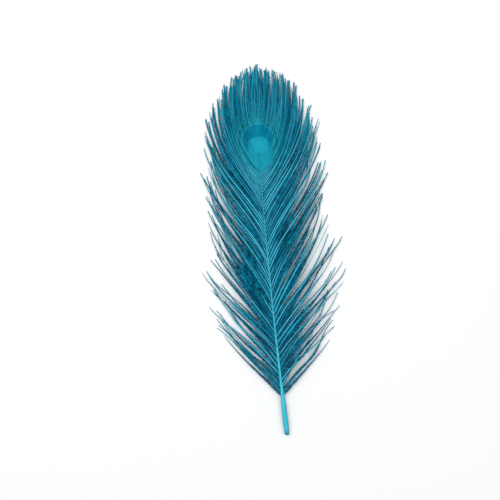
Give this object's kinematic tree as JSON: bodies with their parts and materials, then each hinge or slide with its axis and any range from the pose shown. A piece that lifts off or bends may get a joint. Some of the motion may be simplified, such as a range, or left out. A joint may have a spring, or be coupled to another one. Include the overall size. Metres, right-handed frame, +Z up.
{
  "type": "peacock feather",
  "caption": "Dyed peacock eye feather lying face up: a tapering quill, loose barbs on both sides and a round eye below the fringed tip.",
  "frame": {"origin": "on the surface the feather lies on, under the middle of its box", "axes": "+Y runs from the cut quill to the tips of the fringe, +X to the right of the face that shows the eye, +Z up out of that face"},
  "size_m": [0.1094, 0.29, 0.0053],
  "materials": {
    "shaft": "dyed keratin, satin gloss",
    "barbs": "fine dyed barbs with a soft silky sheen"
  },
  "bodies": {
    "root": {"shaft": "shaft", "left_vane": "barbs", "right_vane": "barbs"}
  },
  "joints": []
}
